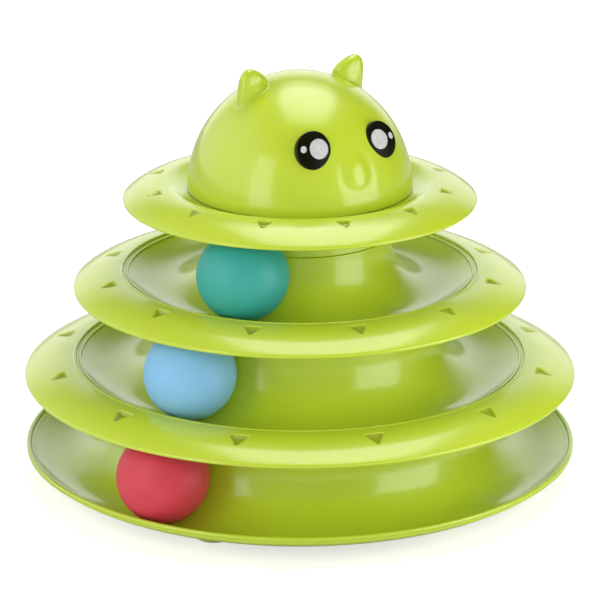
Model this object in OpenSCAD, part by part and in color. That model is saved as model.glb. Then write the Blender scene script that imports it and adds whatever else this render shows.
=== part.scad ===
// Cat ball track toy: a base tray and two brimmed trays stacked on hollow hubs, a
// brimmed cap that carries a cat's head, and a rattle ball in each ring-shaped track.
// Lengths are millimetres, z = 0 is the floor, and the cat looks along -Y.
// Tiers are numbered from the floor: 0 base tray, 1 middle tray, 2 upper tray, 3 cap.

/* [Tower] */
// Radius of the ball's path in the base tray
base_track_r = 105; // [100:1:125]
// How much smaller the path is in each tier above
tier_step_r = 22; // [20.5:0.5:24]
// Air between a ball and the tray above it
ball_headroom = 2.75; // [2:0.05:5]
// Height of the base tray's lowest underside above the floor
foot_h = 6; // [4.5:0.5:10]
// Thickness of the moulded walls
wall = 2; // [1.6:0.1:2.3]

/* [Track] */
// Diameter of the balls
ball_d = 40; // [38:0.5:41.5]
// How much wider than the ball the groove is on the hub side
groove_gap = 0.5; // [0.3:0.1:1.2]
// Radius of the groove on its outer side
outer_groove_r = 27; // [24:0.5:32]
// Reach of the dish outside the ball's path
track_out = 17.3; // [15:0.1:19]
// Width of the narrow land between the dish and the brim
land_w = 1.9; // [1.4:0.1:3]
// Step up from the dish to that land
land_rise = 0.4; // [0.2:0.1:0.8]
// Radius of the base tray's rounded lip
lip_r = 1; // [0.8:0.1:1.2]
// Air under a resting ball
ball_gap = 0.15; // [0.1:0.05:0.3]

/* [Brim] */
// Width of the middle tray's brim
brim_w = 21.8; // [18:0.2:24]
// How much narrower the brim is on each tier above
brim_step_w = 0.7; // [0:0.1:1.5]
// Width of the cap's brim, outside the gutter
cap_brim_w = 18.4; // [15:0.2:22]
// Height of the brim's edge below its own tray's floor
edge_drop = 0.9; // [0:0.1:3]
// How far the brim bows up above a straight slope
brim_bulge = 1.8; // [1:0.1:2.6]
// Number of sunk triangles round a brim
mark_count = 12; // [6:1:16]
// Width of a triangle on the middle tray, along its inner side
mark_w = 10; // [7:0.5:14]
// How much narrower the triangles are on each tier above
mark_step_w = 1; // [0:0.1:1.5]
// Length of a triangle on the middle tray, from its inner side to its outer tip
mark_l = 9; // [6:0.5:11]
// How much shorter the triangles are on each tier above
mark_step_l = 0.8; // [0:0.1:1.2]
// Distance from the brim's crest to a triangle's middle on the middle tray
mark_in = 9.7; // [8:0.1:11]
// How much nearer the crest the triangles are on each tier above
mark_step_in = 1.5; // [0:0.1:2]
// Depth of a triangle
mark_depth = 1.5; // [0.6:0.1:1.6]

/* [Hub] */
// Thickness of the collar that drops over the hub below
collar_w = 2; // [1.7:0.1:2.5]
// Height of a tray's collar
collar_h = 10.5; // [8:0.5:13]
// Height of the cap's collar
neck_h = 14.7; // [10:0.1:16]
// Width of the flat deck on top of each hub
deck_w = 14; // [8:0.5:20]
// Rounding of the deck's outer corner
deck_round = 1.5; // [0.8:0.1:2]
// Side play between a hub and the collar over it
fit_gap = 0.3; // [0.2:0.05:0.4]
// Air under each seat of a lift-off tier
seat_gap = 0.2; // [0.1:0.05:0.4]
// Number of keys that line the tiers up
key_count = 3; // [2:1:6]
// Width of a key
key_w = 8; // [5:0.5:12]
// Height of a key above the hub's wall
key_d = 1; // [0.6:0.1:1.1]

/* [Head] */
// How far the head's widest ring stands out past the neck
head_overhang = 9.5; // [6:0.5:12]
// Height of the head without its ears
head_h = 52; // [44:1:60]
// Radius of the head's tucked-in lower edge
head_curl_r = 2.4; // [2:0.1:6]
// Width of the gutter between the head and the brim's crest
gutter_w = 10.2; // [8:0.2:12]
// Height of the ring that carries the head, above the cap's seat on the deck
ring_rise = 3.5; // [3:0.1:5]
// Rounding between the neck and the ring above it
neck_round = 3; // [1:0.5:4]
// Height of an ear's tip above the head's skin
ear_h = 13.4; // [9:0.2:16]
// Width of an ear from side to side
ear_w = 18; // [14:0.5:22]
// How far an ear's tip stands out past the middle of its foot
ear_lean = 2; // [0:0.1:3]
// Thickness of an ear from front to back
ear_t = 9; // [8:0.2:11]
// Radius of an ear's tip
ear_tip_r = 3.4; // [2.4:0.1:3.8]
// Depth of the hollow in an ear's front
ear_hollow = 1.6; // [1:0.1:3]
// Radius of the nose where it meets the face
nose_r = 9; // [7:0.5:12]
// Height of the nose above the face
nose_h = 2.4; // [1.5:0.1:4]

/* [Eyes] */
// Width of an eye
eye_w = 15.4; // [12:0.2:18]
// Height of an eye
eye_h = 17; // [13:0.2:20]
// How far the middle of an eye stands out from the head
eye_proud = 2.2; // [1.6:0.1:3]
// Radius of the eye's domed front
eye_dome_r = 30; // [20:1:60]
// Width of the white pupil
pupil_w = 8.5; // [6:0.1:10]
// Height of the white pupil
pupil_h = 8.9; // [6:0.1:11]
// Offset of the pupil towards the nose
pupil_in = 1.9; // [0:0.1:2.4]
// Offset of the pupil up the eye
pupil_up = 0.9; // [0:0.1:1.4]
// Width of the small white glint
glint_w = 2.6; // [2:0.1:3.2]
// Height of the small white glint
glint_h = 3.1; // [2:0.1:4]
// Offset of the glint away from the nose
glint_out = 4.7; // [4.4:0.1:5.2]
// Offset of the glint down the eye
glint_down = 1.1; // [0:0.1:1.4]
// Thickness of the white print
print_t = 0.3; // [0.2:0.05:0.5]

/* [Ball] */
// Wall of a ball's two half shells
ball_wall = 1.6; // [1.2:0.1:2]
// Height of the lip that joins the half shells
seam_lip_h = 1.5; // [1:0.1:2.5]
// Diameter of the bell inside a ball
bell_d = 12; // [9:0.5:14]
// Wall of the bell
bell_wall = 0.6; // [0.4:0.1:0.8]
// Width of the bell's slit
bell_slit = 1.5; // [1:0.1:2]
// Diameter of the pellet inside the bell
pellet_d = 3.4; // [3:0.1:4]

/* [Feet] */
// Distance from the ball's path in to the middle of a foot
foot_in = 12; // [11:0.5:14]
// Radius of a moulded foot where it meets the tray
boss_r = 10; // [9:0.1:11]
// How much narrower a moulded foot is at its lower end
boss_draft = 0.7; // [0.3:0.1:1]
// Radius of the soft pad under a foot
pad_r = 7.8; // [6:0.1:8]
// Thickness of the soft pad
pad_t = 1.6; // [1.2:0.1:2.5]
// How deep the pad is let into the foot
pad_inset = 0.6; // [0.4:0.1:1]

/* [Hidden] */

// One foot for each foot_pad node
foot_count = 6;
cap_tier = 3;

// Angles round the tower, from the face towards +X
ball_turns = [-65.4, -66.2, -55.3];
mark_turn = 15;
foot_turn = 5;
key_turn = 30;
// Angles on the head: along its curve up from its base, and round it from the face
eye_climb = 32.6;
eye_turn = 24;
nose_climb = 17.3;
// Direction and lean of an eye's front
eye_aim = 11.5;
eye_tilt = 23.5;
eye_lean = 20;

// Shares of the sizes that they follow
ear_place_share = 0.532;
ear_spread_share = 0.2;
ear_root_share = 0.7;
hollow_top_share = 0.5;
hollow_r_share = 0.55;
nose_blend_share = 0.12;
bell_hole_share = 0.9;
bell_hole_place_share = 0.72;

// Small gaps, and one overrun for cuts
seam_gap = 0.08;
glue_gap = 0.05;
bell_gap = 0.2;
pad_gap = 0.1;
cut = 1;

// Steps along arcs of the outlines
groove_steps = 12;
dish_steps = 6;
brim_steps = 8;
tip_steps = 6;
corner_steps = 4;
head_steps = 16;
curl_steps = 5;
gutter_steps = 6;
oval_steps = 40;
round_fn = 96;
hull_fn = 32;

green = [0.73, 0.82, 0.25];
ball_colors = [[0.80, 0.26, 0.31], [0.54, 0.75, 0.89], [0.24, 0.65, 0.60]];
eye_black = [0.07, 0.08, 0.02];
print_white = [0.85, 0.85, 0.85];
brass = [0.80, 0.65, 0.30];
steel = [0.62, 0.63, 0.65];
pad_grey = [0.80, 0.81, 0.79];

ball_r = ball_d / 2;
groove_r = ball_r + groove_gap;
dish_angle = asin(track_out / outer_groove_r);
dish_rise = outer_groove_r * (1 - cos(dish_angle));

// Distance from a ball's middle to the middle of the arc of the outer groove above it
ball_clear_r = outer_groove_r + wall + ball_r + ball_headroom;
tier_pitch = sqrt(ball_clear_r * ball_clear_r - tier_step_r * tier_step_r)
    - outer_groove_r + ball_r + ball_gap;

function track_r(i) = base_track_r - i * tier_step_r;
function floor_z(i) = foot_h + wall + i * tier_pitch;
function hub_r(i) = track_r(i) - groove_r;
function peg_r(i) = hub_r(i) - collar_w - fit_gap;
function deck_z(i) = floor_z(i + 1) - wall - seat_gap;
function collar_z(i) = floor_z(i) - wall - (i == cap_tier ? neck_h : collar_h);
function step_z(i) = collar_z(i + 1) - seat_gap;

neck_r = hub_r(cap_tier - 1);
neck_in_r = neck_r - collar_w;
flange_in_r = neck_r - deck_w;
ring_z = floor_z(cap_tier) + ring_rise;
head_r = neck_r + head_overhang;
head_z = ring_z + seat_gap;
spigot_r = neck_in_r - fit_gap;
curl_x = head_r * sqrt(1 - pow(head_curl_r / head_h, 2)) - head_curl_r;

function crease_r(i) = i == cap_tier ? head_r + gutter_w : track_r(i) + track_out + land_w;
function crease_z(i) = floor_z(i) + dish_rise + land_rise;
function brim_r(i) = crease_r(i) + (i == cap_tier ? cap_brim_w : brim_w - (i - 1) * brim_step_w);

// Points along an arc, with the first or last one left out where outlines join
function arc(c, r, a0, a1, steps, first = 0, last = 0) =
    [for (k = [first : steps - last]) let (a = a0 + (a1 - a0) * k / steps)
        c + r * [cos(a), sin(a)]];

function reversed(points) = [for (k = [len(points) - 1 : -1 : 0]) points[k]];

// A brim's middle line is an arc from a to b that bows up by brim_bulge
function brim_a(i) = [crease_r(i), crease_z(i) - wall / 2];
function brim_b(i) = [brim_r(i) - wall / 2, floor_z(i) - edge_drop];
function bow_r(i) =
    let (half = norm(brim_b(i) - brim_a(i)) / 2)
    (half * half + brim_bulge * brim_bulge) / (2 * brim_bulge);
function bow_c(i) =
    let (a = brim_a(i), b = brim_b(i), along = (b - a) / norm(b - a))
    (a + b) / 2 - (bow_r(i) - brim_bulge) * [-along.y, along.x];
function angle_of(v) = atan2(v.y, v.x);
function bow_start(i) = angle_of(brim_a(i) - bow_c(i));
function bow_end(i) = angle_of(brim_b(i) - bow_c(i));
function brim_line(i, side) =
    arc(bow_c(i), bow_r(i) + side * wall / 2, bow_start(i), bow_end(i), brim_steps);
function brim_tip(i) =
    arc(brim_b(i), wall / 2, bow_end(i), bow_end(i) - 180, tip_steps, 1, 1);
function brim_outline(i) = concat(brim_line(i, 1), brim_tip(i), reversed(brim_line(i, -1)));

// The hub's outside and the groove, from the deck down to the floor and out to the dish's edge
function hub_line(i) = concat(
    [[hub_r(i) - deck_w, deck_z(i)]],
    arc([peg_r(i) - deck_round, deck_z(i) - deck_round], deck_round, 90, 0, corner_steps),
    [[peg_r(i), step_z(i)], [hub_r(i), step_z(i)]]);
function groove_line(i) = concat(
    arc([track_r(i), floor_z(i) + groove_r], groove_r, 180, 270, groove_steps),
    arc([track_r(i), floor_z(i) + outer_groove_r], outer_groove_r,
        270, 270 + dish_angle, dish_steps, 1));

// The same wall's underside, from the dish's edge in and up to the deck
function under_line(i) = concat(
    arc([track_r(i), floor_z(i) + outer_groove_r], outer_groove_r + wall,
        270 + dish_angle, 270, dish_steps),
    arc([track_r(i), floor_z(i) + groove_r], groove_r + wall, 270, 180, groove_steps, 1),
    [[hub_r(i) - wall, step_z(i) - wall], [peg_r(i) - wall, step_z(i) - wall],
     [peg_r(i) - wall, deck_z(i) - wall], [hub_r(i) - deck_w, deck_z(i) - wall]]);

function lip_line(i) =
    arc([track_r(i) + track_out + land_w - lip_r, floor_z(i) + dish_rise + land_rise / 2],
        lip_r, 150, -60, tip_steps);

// The wavy gutter between the brim's crest and the head's ring, lowered by drop
function gutter_line(drop) =
    let (r0 = head_r + glue_gap, r1 = crease_r(cap_tier), z1 = crease_z(cap_tier))
    [for (k = [0 : gutter_steps - 1]) let (s = k / gutter_steps)
        [r0 + (r1 - r0) * s, ring_z + (z1 - ring_z) * (1 - cos(180 * s)) / 2 - drop]];

module turn(outline) {
    rotate_extrude($fn = round_fn) polygon(outline);
}

module tube(r_out, r_in, z0, z1) {
    difference() {
        translate([0, 0, z0]) cylinder(r = r_out, h = z1 - z0, $fn = round_fn);
        translate([0, 0, z0 - cut]) cylinder(r = r_in, h = z1 - z0 + 2 * cut, $fn = round_fn);
    }
}

// Upright bars round the hub of tier i, grown by play on all sides for the slots over them
module keys(i, z0, z1, play) {
    for (k = [0 : key_count - 1])
        rotate([0, 0, key_turn + k * 360 / key_count])
            translate([peg_r(i) - wall / 2, -key_w / 2 - play, z0])
                cube([wall / 2 + key_d + play, key_w + 2 * play, z1 - z0]);
}

module sunk_marks(i) {
    step = i - 1;
    w = mark_w - step * mark_step_w;
    l = mark_l - step * mark_step_l;
    mark_r = crease_r(i) + mark_in - step * mark_step_in;
    skin_r = bow_r(i) + wall / 2;
    skin_angle = acos((mark_r - bow_c(i).x) / skin_r);
    for (k = [0 : mark_count - 1])
        rotate([0, 0, mark_turn + k * 360 / mark_count])
            translate([0, -mark_r, bow_c(i).y + skin_r * sin(skin_angle)])
                rotate([90 - skin_angle, 0, 0])
                    translate([0, 0, -mark_depth])
                        linear_extrude(height = mark_depth + cut)
                            polygon([[-w / 2, l / 2], [w / 2, l / 2], [0, -l / 2]]);
}

// A collar that drops over the hub below tier i, with a slot for each key
module collar(i) {
    difference() {
        tube(hub_r(i - 1), hub_r(i - 1) - collar_w, collar_z(i), floor_z(i) - wall / 2);
        keys(i - 1, collar_z(i) - cut, floor_z(i) - wall, fit_gap);
    }
}

module foot_places(k) {
    rotate([0, 0, foot_turn + k * 360 / foot_count])
        translate([0, foot_in - track_r(0), 0])
            children();
}

module base_tray() {
    sole_z = pad_t - pad_inset;
    color(green) {
        difference() {
            union() {
                turn(concat(hub_line(0), groove_line(0), lip_line(0), under_line(0)));
                for (k = [0 : foot_count - 1])
                    foot_places(k)
                        translate([0, 0, sole_z])
                            cylinder(r1 = boss_r - boss_draft, r2 = boss_r,
                                     h = floor_z(0) + groove_r - sole_z, $fn = round_fn);
            }
            turn(concat(groove_line(0), [[track_r(0) + track_out, floor_z(0) + groove_r + cut],
                                         [hub_r(0), floor_z(0) + groove_r + cut]]));
            for (k = [0 : foot_count - 1])
                foot_places(k)
                    translate([0, 0, sole_z - cut])
                        cylinder(r = pad_r + pad_gap, h = pad_inset + cut, $fn = round_fn);
        }
        keys(0, step_z(0) - wall, deck_z(0) - deck_round, 0);
    }
}

module brimmed_tray(i) {
    color(green) {
        difference() {
            turn(concat(hub_line(i), groove_line(i),
                        [[track_r(i) + track_out, crease_z(i)]],
                        brim_outline(i), under_line(i)));
            sunk_marks(i);
        }
        keys(i, step_z(i) - wall, deck_z(i) - deck_round, 0);
        collar(i);
    }
}

module middle_tray() {
    brimmed_tray(1);
}

module upper_tray() {
    brimmed_tray(2);
}

module cap_brim() {
    seat_z = floor_z(cap_tier);
    color(green)
        difference() {
            turn(concat(
                [[neck_in_r, collar_z(cap_tier)], [neck_r, collar_z(cap_tier)]],
                arc([neck_r + neck_round, ring_z - wall - neck_round], neck_round,
                    180, 90, corner_steps),
                gutter_line(wall),
                reversed(brim_outline(cap_tier)),
                reversed(gutter_line(0)),
                [[neck_in_r, ring_z], [neck_in_r, seat_z], [flange_in_r, seat_z],
                 [flange_in_r, seat_z - wall], [neck_in_r, seat_z - wall]]));
            sunk_marks(cap_tier);
            keys(cap_tier - 1, collar_z(cap_tier) - cut, seat_z - wall - cut, fit_gap);
        }
}

// A quarter oval of the head's skin, shrunk by inset, above its tucked-in lower edge
function head_line(inset) =
    let (a = head_r - inset, b = head_h - inset, low = asin(head_curl_r / b))
    concat(
        arc([curl_x, head_z + head_curl_r], head_curl_r - inset, 270, 360, curl_steps),
        [for (k = [1 : head_steps]) let (t = low + (90 - low) * k / head_steps)
            [k == head_steps ? 0 : a * cos(t), head_z + b * sin(t)]]);

module head_skin(grow) {
    turn(concat([[0, head_z - grow]], head_line(-grow)));
}

function head_top_at(x) = head_z + head_h * sqrt(1 - pow(x / head_r, 2));

module ear(side) {
    tip_x = head_r * ear_place_share;
    tip_z = head_top_at(tip_x) + ear_h - ear_tip_r;
    root_x = tip_x - ear_lean;
    root_r = ear_t / 2;
    half_w = ear_w / 2 - root_r;
    difference() {
        hull() {
            translate([side * tip_x, 0, tip_z]) sphere(r = ear_tip_r, $fn = hull_fn);
            for (x = [root_x - half_w, root_x + half_w])
                translate([side * x, 0, head_top_at(x) - root_r * ear_root_share])
                    sphere(r = root_r, $fn = hull_fn);
        }
        hull()
            for (x = [root_x - ear_w * ear_spread_share, tip_x, root_x + ear_w * ear_spread_share])
                translate([side * x, -ear_t / 2 - ear_tip_r + ear_hollow,
                           x == tip_x ? tip_z - ear_h * (1 - hollow_top_share) / 2
                                      : head_top_at(x) + root_r * hollow_r_share])
                    sphere(r = root_r * hollow_r_share, $fn = hull_fn);
    }
}

module nose() {
    up = atan(head_r * sin(nose_climb) / (head_h * cos(nose_climb)));
    translate([0, -head_r * cos(nose_climb), head_z + head_h * sin(nose_climb)])
        rotate([90 - up, 0, 0])
            turn(concat(
                [[0, -nose_h]], [[nose_r, -nose_h]],
                [for (k = [head_steps : -1 : 0]) let (s = k / head_steps, r = nose_r * s)
                    [r, nose_h * (1 + cos(180 * s)) / 2 - r * r / (2 * head_r)
                        - nose_h * nose_blend_share * s]]));
}

module head_dome() {
    color(green)
        difference() {
            union() {
                head_skin(0);
                ear(-1);
                ear(1);
                nose();
                translate([0, 0, floor_z(cap_tier) + seat_gap])
                    cylinder(r = spigot_r, h = head_z + wall - floor_z(cap_tier) - seat_gap,
                             $fn = round_fn);
            }
            turn(concat([[0, head_z + wall]], head_line(wall)));
            translate([0, 0, floor_z(cap_tier)])
                cylinder(r = spigot_r - wall, h = ring_z - floor_z(cap_tier) + wall + cut,
                         $fn = round_fn);
        }
}

// A frame at the middle of an eye, with z out of its front and y up its face
module eye_place(side) {
    translate([side * head_r * cos(eye_climb) * sin(eye_turn),
               -head_r * cos(eye_climb) * cos(eye_turn),
               head_z + head_h * sin(eye_climb)])
        rotate([0, 0, side * eye_aim])
            rotate([90 - eye_tilt, 0, 0])
                rotate([0, 0, side * eye_lean])
                    children();
}

module oval_bar(w, h, z0, z1) {
    translate([0, 0, z0])
        linear_extrude(height = z1 - z0)
            polygon([for (k = [0 : oval_steps - 1]) let (a = 360 * k / oval_steps)
                [w / 2 * cos(a), h / 2 * sin(a)]]);
}

module eye_ball(grow) {
    translate([0, 0, eye_proud - eye_dome_r]) sphere(r = eye_dome_r + grow, $fn = round_fn);
}

module eye(side) {
    color(eye_black)
        difference() {
            eye_place(side)
                intersection() {
                    oval_bar(eye_w, eye_h, -eye_w / 2, eye_proud + cut);
                    eye_ball(0);
                }
            head_skin(glue_gap);
        }
}

module left_eye() {
    eye(-1);
}

module right_eye() {
    eye(1);
}

// One white oval on the eye's domed front, at a place from its middle
module eye_spot(x, y, w, h) {
    difference() {
        intersection() {
            translate([x, y, 0]) oval_bar(w, h, 0, eye_proud + cut);
            eye_ball(print_t);
        }
        eye_ball(0);
    }
}

module eye_print(side) {
    color(print_white)
        difference() {
            eye_place(side) {
                eye_spot(-side * pupil_in, pupil_up, pupil_w, pupil_h);
                eye_spot(side * glint_out, -glint_down, glint_w, glint_h);
            }
            head_skin(glue_gap);
        }
}

module left_eye_print() {
    eye_print(-1);
}

module right_eye_print() {
    eye_print(1);
}

module at_ball(i) {
    translate([track_r(i) * sin(ball_turns[i]), -track_r(i) * cos(ball_turns[i]),
               floor_z(i) + ball_r + ball_gap])
        children();
}

// Half a hollow ball above z = 0
module half_shell() {
    difference() {
        sphere(r = ball_r, $fn = round_fn);
        sphere(r = ball_r - ball_wall, $fn = round_fn);
        translate([0, 0, -ball_d / 2]) cube(ball_d * [1, 1, 1] + [cut, cut, 0], center = true);
    }
}

module ball_outer_half(i) {
    color(ball_colors[i])
        at_ball(i)
            rotate([0, 0, ball_turns[i]])
                rotate([90, 0, 0]) {
                    half_shell();
                    tube(ball_r - ball_wall / 2 - seam_gap, ball_r - ball_wall,
                         -seam_lip_h, seam_lip_h);
                }
}

module ball_inner_half(i) {
    color(ball_colors[i])
        at_ball(i)
            rotate([0, 0, ball_turns[i]])
                rotate([-90, 0, 0])
                    difference() {
                        half_shell();
                        translate([0, 0, -cut])
                            cylinder(r = ball_r - ball_wall / 2,
                                     h = seam_lip_h + seam_gap + cut, $fn = round_fn);
                    }
}

// A frame at the middle of the bell, which lies loose on the ball's lowest inside
module at_bell(i) {
    at_ball(i)
        translate([0, 0, bell_d / 2 + bell_gap + ball_wall - ball_r])
            children();
}

module ball_bell(i) {
    hole_r = bell_slit * bell_hole_share;
    color(brass)
        at_bell(i)
            difference() {
                sphere(d = bell_d, $fn = round_fn);
                sphere(r = bell_d / 2 - bell_wall, $fn = round_fn);
                translate([-bell_d / 2, -bell_slit / 2, bell_d / 4])
                    cube([bell_d, bell_slit, bell_d]);
                for (side = [-1, 1])
                    translate([side * bell_d / 2 * bell_hole_place_share, 0, 0])
                        cylinder(r = hole_r, h = bell_d, $fn = round_fn);
            }
}

module ball_pellet(i) {
    color(steel)
        at_bell(i)
            translate([0, 0, pellet_d / 2 + bell_gap + bell_wall - bell_d / 2])
                sphere(d = pellet_d, $fn = round_fn);
}

module foot_pad(k) {
    color(pad_grey)
        foot_places(k)
            cylinder(r = pad_r, h = pad_t, $fn = round_fn);
}

base_tray();
middle_tray();
upper_tray();
cap_brim();
head_dome();
left_eye();
right_eye();
left_eye_print();
right_eye_print();
ball_outer_half(0);  // red_ball_outer_half
ball_inner_half(0);  // red_ball_inner_half
ball_bell(0);  // red_ball_bell
ball_pellet(0);  // red_ball_pellet
ball_outer_half(1);  // blue_ball_outer_half
ball_inner_half(1);  // blue_ball_inner_half
ball_bell(1);  // blue_ball_bell
ball_pellet(1);  // blue_ball_pellet
ball_outer_half(2);  // teal_ball_outer_half
ball_inner_half(2);  // teal_ball_inner_half
ball_bell(2);  // teal_ball_bell
ball_pellet(2);  // teal_ball_pellet
foot_pad(0);  // foot_pad_1
foot_pad(1);  // foot_pad_2
foot_pad(2);  // foot_pad_3
foot_pad(3);  // foot_pad_4
foot_pad(4);  // foot_pad_5
foot_pad(5);  // foot_pad_6
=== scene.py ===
"""Looks of the cat ball track toy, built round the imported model.

Sizes are millimetres, as in the model, and each mesh is made in metres. Angles round the
tower are degrees from the cat's face, which looks along -Y, towards +X. Tiers are numbered
from the floor: 0 base tray, 1 middle tray, 2 upper tray, 3 cap.
"""

import bmesh
import bpy
import numpy as np
from mathutils import Euler, Matrix, Vector


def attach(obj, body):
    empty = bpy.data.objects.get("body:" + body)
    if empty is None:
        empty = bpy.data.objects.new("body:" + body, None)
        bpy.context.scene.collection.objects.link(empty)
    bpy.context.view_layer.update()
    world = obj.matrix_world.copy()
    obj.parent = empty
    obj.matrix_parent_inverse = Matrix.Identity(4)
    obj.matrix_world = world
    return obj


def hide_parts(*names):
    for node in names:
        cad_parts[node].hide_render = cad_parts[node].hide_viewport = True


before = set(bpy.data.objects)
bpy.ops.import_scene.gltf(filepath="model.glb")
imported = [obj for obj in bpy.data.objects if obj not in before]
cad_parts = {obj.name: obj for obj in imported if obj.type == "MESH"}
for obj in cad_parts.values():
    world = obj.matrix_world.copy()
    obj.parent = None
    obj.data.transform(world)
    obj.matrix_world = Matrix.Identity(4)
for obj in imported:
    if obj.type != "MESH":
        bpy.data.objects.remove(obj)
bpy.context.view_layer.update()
MM = 0.001

# Tower and track
base_track_r, tier_step_r = 105.0, 22.0
foot_h, wall = 6.0, 2.0
ball_r, groove_gap, outer_groove_r = 20.0, 0.5, 27.0
track_out, land_w, land_rise, land_reach = 17.3, 1.9, 0.4, 1.7
lip_r, ball_gap, ball_headroom = 1.0, 0.15, 2.75

# Cross-sections of the beads and grooves at a dish's edge, at a brim's crest and at the base's
# lip, as points from that edge, crest or lip, with the rounding of each inner point
edge_bead = [(-0.3, -0.2), (0, 0), (0.15, 1.05), (0.95, 1.05), (1.1, 0.6)]
crest_bead = [(-1.45, -0.55), (-1.35, -0.85), (-1.15, -0.85), (-1.05, 0.3), (0.05, 0.3),
              (0.4, -0.01), (0.9, -0.05)]
land_rounds = [0.1, 0.35, 0.3, 0.1, 0.1, 0.06, 0.06, 0.5, 0.45, 0.2]
lip_ridge = [(-0.3, -0.2), (0, 0), (0.12, 0.35), (0.5, 0.45)]
lip_groove = [(-0.35, -0.2), (-0.2, -0.5), (-0.05, -0.5)]
lip_rounds = [0.1, 0.14, 0.18, 0.12, 0.06, 0.06]

# Brim and its sunk triangles
brim_w, brim_step_w, cap_brim_w, edge_drop, brim_bulge = 21.8, 0.7, 18.4, 0.9, 1.55
mark_count, mark_w, mark_l, mark_in, mark_depth = 12, 10.0, 9.0, 9.7, 1.5
mark_step_w, mark_step_l, mark_step_in = 1.0, 0.8, 1.5
mark_turn, mark_round, mark_margin = 15.0, 1.1, 1.6
# mark_shade is how far past half a triangle's length the shade painted into its floor may reach
mark_rim, mark_cove, mark_draft, mark_clear, mark_shade = 0.25, 1.2, 0.1, 0.35, 0.6

# Hub, deck and collars
collar_w, collar_h, neck_h = 2.0, 10.5, 14.7
deck_w, deck_round, fit_gap, seat_gap = 14.0, 1.5, 0.3, 0.2
key_count, key_w, key_d, key_turn = 3, 8.0, 1.0, 0.0

# Roundings of edges and corners, and how far a straight wall stops short of the arc it meets
edge_r, fine_r, corner_r = 0.4, 0.3, 0.5
collar_fillet, arc_lead = 0.7, 0.1

# Head
head_overhang, head_h, head_curl_r = 9.5, 52.0, 0.35
gutter_w, gutter_lead, ring_rise, neck_round = 10.2, 0.05, 3.5, 3.0
ear_place, ear_top, ear_out, ear_in, ear_t = 26.6, 57.38, 5.2, 9.4, 9.2
ear_hollow, ear_forward, ear_flare, ear_root = 0.45, 2.2, 1.0, 1.0
nose_r, nose_h, nose_ring_r, nose_ring_d = 9.8, 1.15, 7.0, 0.4
nose_climb, nose_stretch, nose_power = 18.0, 1.8, 1.8
nose_ring_even, nose_ring_fade = 0.45, 0.8

# Eyes
eye_w, eye_h, eye_proud, eye_dome_r = 15.4, 17.0, 2.2, 30.0
eye_climb, eye_turn, eye_aim, eye_tilt, eye_lean = 32.6, 24.0, 11.5, 23.5, 20.0
pupil_w, pupil_h, pupil_in, pupil_up = 8.5, 8.9, 1.9, 0.9
glint_w, glint_h, glint_out, glint_down = 2.6, 3.1, 4.7, 1.1
eye_rim, eye_sunk, eye_ahead, ink_t, ink_sunk = 0.55, 0.7, 30.0, 0.16, 0.1

# Balls and feet
ball_wall, seam_lip_h, seam_lip_top, seam_gap, seam_edge = 1.6, 1.5, 0.2, 0.02, 0.05
ball_turns = {"red": -65.4, "blue": -66.2, "teal": -55.3}
foot_count, foot_turn, foot_in = 6, 5.0, 12.0
boss_r, boss_draft, boss_edge, boss_bevel, boss_into = 10.0, 0.7, 0.35, 0.15, 0.5
pad_r, pad_t, pad_inset, pad_gap = 7.8, 1.6, 0.6, 0.1
pad_edge, pad_top_edge, pad_ring_d = 0.4, 0.15, 0.15

# Keeps the smooth rim inside the model's faceted one
box_gap = 0.03

# Points and steps along outlines and round them
groove_steps, dish_steps, under_out_steps, under_in_steps = 18, 10, 6, 12
brim_in_steps, brim_out_steps, tip_steps, lip_steps, bead_steps = 3, 8, 10, 16, 3
half_sector_points, mark_side_steps, blend_rings = 13, 8, 6
gutter_steps, gutter_under_steps, neck_steps = 12, 8, 6
head_steps, head_in_steps, curl_steps, head_turns = 72, 24, 8, 216
ear_turns, ear_steps, ear_foot_steps = 96, 56, 8
ball_steps, ball_in_steps, ball_turn_steps = 40, 20, 96
eye_turns, spot_turns, foot_turns, pad_turns = 96, 72, 48, 64

CAP = 3
groove_r = ball_r + groove_gap
dish_angle = np.degrees(np.arcsin(track_out / outer_groove_r))
dish_rise = outer_groove_r * (1 - np.cos(np.radians(dish_angle)))
ball_clear_r = outer_groove_r + wall + ball_r + ball_headroom
tier_pitch = np.sqrt(ball_clear_r**2 - tier_step_r**2) - outer_groove_r + ball_r + ball_gap


# Radii and heights of tier i: the middle of its track, the track's floor, its hub, peg, deck and
# collar, and the crest and edge of its brim

def track_r(i):
    return base_track_r - i * tier_step_r


def floor_z(i):
    return foot_h + wall + i * tier_pitch


def hub_r(i):
    return track_r(i) - groove_r


def peg_r(i):
    return hub_r(i) - collar_w - fit_gap


def deck_z(i):
    return floor_z(i + 1) - wall - seat_gap


def collar_z(i):
    return floor_z(i) - wall - (neck_h if i == CAP else collar_h)


neck_r = hub_r(CAP - 1)
ring_z = floor_z(CAP) + ring_rise
head_r = neck_r + head_overhang
head_z = ring_z + seat_gap
spigot_r = neck_r - collar_w - fit_gap
curl_x = head_r * np.sqrt(1 - (head_curl_r / head_h) ** 2) - head_curl_r


def crease_r(i):
    return head_r + gutter_w if i == CAP else track_r(i) + track_out + land_w


def crease_z(i):
    return floor_z(i) + dish_rise + land_rise


def brim_r(i):
    return crease_r(i) + (cap_brim_w if i == CAP else brim_w - (i - 1) * brim_step_w)


def mark_size(i):
    """Width, length and distance in from the crest of a tier's sunk triangles."""
    step = i - 1
    return mark_w - step * mark_step_w, mark_l - step * mark_step_l, mark_in - step * mark_step_in


# Outlines are arrays of (radius, height) points

def unit(v):
    """A direction of length 1."""
    return v / np.linalg.norm(v)


def arc(centre, r, a0, a1, steps):
    """Points on a circle round centre: centre + r (cos a, sin a), a from a0 to a1 degrees."""
    a = np.radians(np.linspace(a0, a1, steps + 1))
    return np.stack([centre[0] + r * np.cos(a), centre[1] + r * np.sin(a)], axis=1)


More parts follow.
